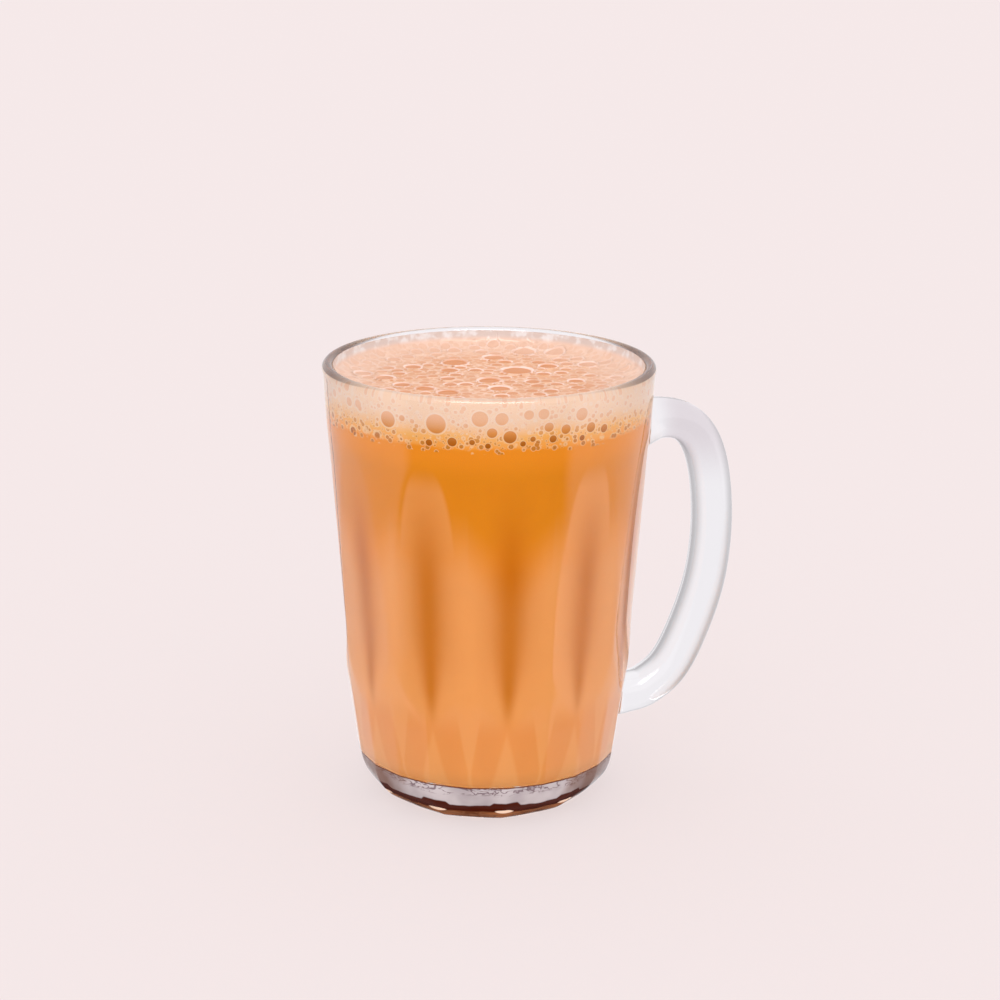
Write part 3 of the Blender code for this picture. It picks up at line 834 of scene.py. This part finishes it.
def foam_top():
    """Amber film in the bubbles, deeper in larger ones, pale rims broken here and there, pale foam.

    The rims are partly the foam's own borders and partly painted highlight. Towards the
    wall it is paler, and the film above the climb is a greyish residue. Heights, sizes
    and distances from the axis are in millimetres.
    """
    material, wire = new_material("foam_top")
    marks = wire.node("Attribute", attribute_name="bubble")
    near, apart, size = (wire.node("SeparateXYZ", {0: marks}, out=axis) for axis in range(3))
    place = wire.node("TexCoord", out="Object")
    slow = wire.node("TexNoise", {"Vector": place, "Scale": 240.0, "Detail": 3.0})
    foam = slow.step(0.38, 0.66).blend(FOAM_DEEP, FOAM_PALE)
    film = size.step(0.7, 2.2).blend(SMALL_FILM, LARGE_FILM)
    colour = near.step(1.0, 0.9).blend(foam, film)
    # Pale rims round the bubbles: partly the foam's own borders, partly painted highlight
    rim = near.step(0.76, 0.88) * near.step(1.04, 0.97)
    rim = wire.maths("MAXIMUM", rim, apart.step(0.14, 0.02))
    broken = wire.node("TexNoise", {"Vector": place, "Scale": 150.0, "Detail": 1.0}).step(0.4, 0.6)
    rim = rim * (0.12 + 0.78 * size.step(0.8, 2.0)) * (0.4 + 0.6 * broken)
    colour = rim.blend(colour, RIM_BORDER_AND_HIGHLIGHT)
    x, y, z = (wire.node("SeparateXYZ", {0: place}, out=axis) for axis in range(3))
    reach = wire.maths("SQRT", x * x + y * y) / MM
    colour = (reach.step(20.0, 36.0) * 0.6).blend(colour, FOAM_AT_WALL)
    mottle = wire.node("TexNoise", {"Vector": place, "Scale": 420.0, "Detail": 2.0}).step(0.42, 0.62)
    residue = mottle.blend(RESIDUE_DEEP, RESIDUE_PALE)
    colour = (z / MM).step(104.7, 106.2).blend(colour, residue)
    wetness = 0.2 + (z / MM).step(103.6, 104.6) * 0.5
    wire.fill(wire.tree.nodes["Principled BSDF"], {
        "Base Color": colour, "Roughness": 0.4, "Specular IOR Level": 0.15,
        "Coat Weight": wetness, "Coat Roughness": 0.12})
    return material


# Bubbles flat against the glass as (turn in degrees, height, radius), in millimetres
WALL_BUBBLES = (
    (-125.6, 101.5, 2.5), (-110.2, 103.2, 2.0), (-102.7, 103.2, 1.6), (-99.8, 98.9, 1.6),
    (-119.9, 97.5, 1.15), (-86.0, 100.8, 1.2), (-93.4, 104.0, 1.25), (-88.1, 104.0, 1.4),
    (-73.4, 103.0, 1.65), (-79.5, 99.9, 1.25), (-69.1, 99.5, 1.3), (-62.9, 98.6, 1.1),
    (-106.0, 99.9, 1.25), (-84.3, 97.9, 0.95), (-128.3, 96.9, 0.85), (-112.9, 97.6, 0.7),
    (-107.4, 96.8, 0.7), (-95.2, 97.2, 0.7), (-91.7, 98.2, 0.7), (-72.7, 97.3, 0.75),
    (-144.5, 101.1, 2.1), (-138.5, 101.9, 0.8))
# Where the medium field fades out towards the placed bubbles in front, as y in millimetres
PLACED_FRONT = (-24.0, -20.0)
# Colours from the tea up: the foam, the film in a bubble and the pale ring round it
FOAM_STOPS = ((0.0, linear(255, 172, 68)), (0.42, linear(255, 197, 112)), (1.0, linear(255, 225, 196)))
FILM_STOPS = ((0.0, linear(184, 100, 0)), (0.45, linear(230, 156, 80)), (1.0, linear(248, 201, 164)))
RING_LOW = linear(255, 214, 160)
RING_HIGH = linear(255, 232, 212)


def foam_on_wall():
    """Foam against the glass: pale above and amber towards the tea, with round bubbles in pale rings.

    The placed bubbles lie over three fields of smaller ones, and the foam ends in
    a wavy line with bubbles below it. Heights are in millimetres.
    """
    material, wire = new_material("foam_on_wall")
    place = wire.node("TexCoord", out="Object")
    wave = wire.node("TexNoise", {"Vector": place, "Scale": 60.0, "Detail": 2.0})
    height = wire.node("SeparateXYZ", {0: place}, out=2) / MM
    nearest = None
    for degrees, level, radius in WALL_BUBBLES:
        reach = inner_radius(level * MM) + FROTH_INTO_WALL
        turn = math.radians(degrees)
        centre = (reach * math.cos(turn), reach * math.sin(turn), level * MM)
        away = wire.node("VectorMath", {0: place, 1: centre}, out="Value", operation="DISTANCE")
        away = away / (radius * MM)
        nearest = away if nearest is None else wire.maths("MINIMUM", nearest, away)
    medium = wire.node("TexVoronoi", {"Vector": place, "Scale": 230.0}, out="Distance") / 0.30
    small = wire.node("TexVoronoi", {"Vector": place, "Scale": 560.0}, out="Distance") / 0.38
    tiny = wire.node("TexVoronoi", {"Vector": place, "Scale": 1100.0}, out="Distance") / 0.34
    colour = (height + wave * 4.0 - 2.0).step(94.8, 103.4).ramp(*FOAM_STOPS)
    film = height.step(96.0, 104.0).ramp(*FILM_STOPS)
    ring = height.step(96.0, 103.0).blend(RING_LOW, RING_HIGH)
    clear = nearest.step(1.05, 1.3)
    unplaced = (wire.node("SeparateXYZ", {0: place}, out=1) / MM).step(*PLACED_FRONT)
    medium = medium + (1.0 - unplaced) * 4.0
    for field, share in ((tiny, 0.42), (small, 0.6), (medium, 0.75)):
        colour = (field.step(0.95, 0.75) * share * clear).blend(colour, film)
        colour = (field.step(0.7, 0.95) * field.step(1.3, 1.0) * 0.8 * clear).blend(colour, ring)
    colour = nearest.step(0.98, 0.88).blend(colour, film)
    colour = (nearest.step(0.86, 0.97) * nearest.step(1.14, 1.03) * 0.8).blend(colour, ring)
    round_bubbles = wire.maths("MINIMUM", nearest, small + 0.15).step(1.25, 1.05)
    round_bubbles = round_bubbles * height.step(94.4, 95.0)
    foamy = wire.maths("MAXIMUM", (height - wave * 2.2).step(94.2, 95.3), round_bubbles)
    colour = foamy.blend(TEA_DEEP, colour)
    wire.fill(wire.tree.nodes["Principled BSDF"], {
        "Base Color": colour, "Roughness": 0.5, "Specular IOR Level": 0.0})
    return material


froth = bpy.data.objects.new("froth_head", froth_mesh(scattered_bubbles()))
scene.collection.objects.link(froth)
froth.data.materials.append(foam_top())
froth.data.materials.append(foam_on_wall())
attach(froth, "root")
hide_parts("froth")
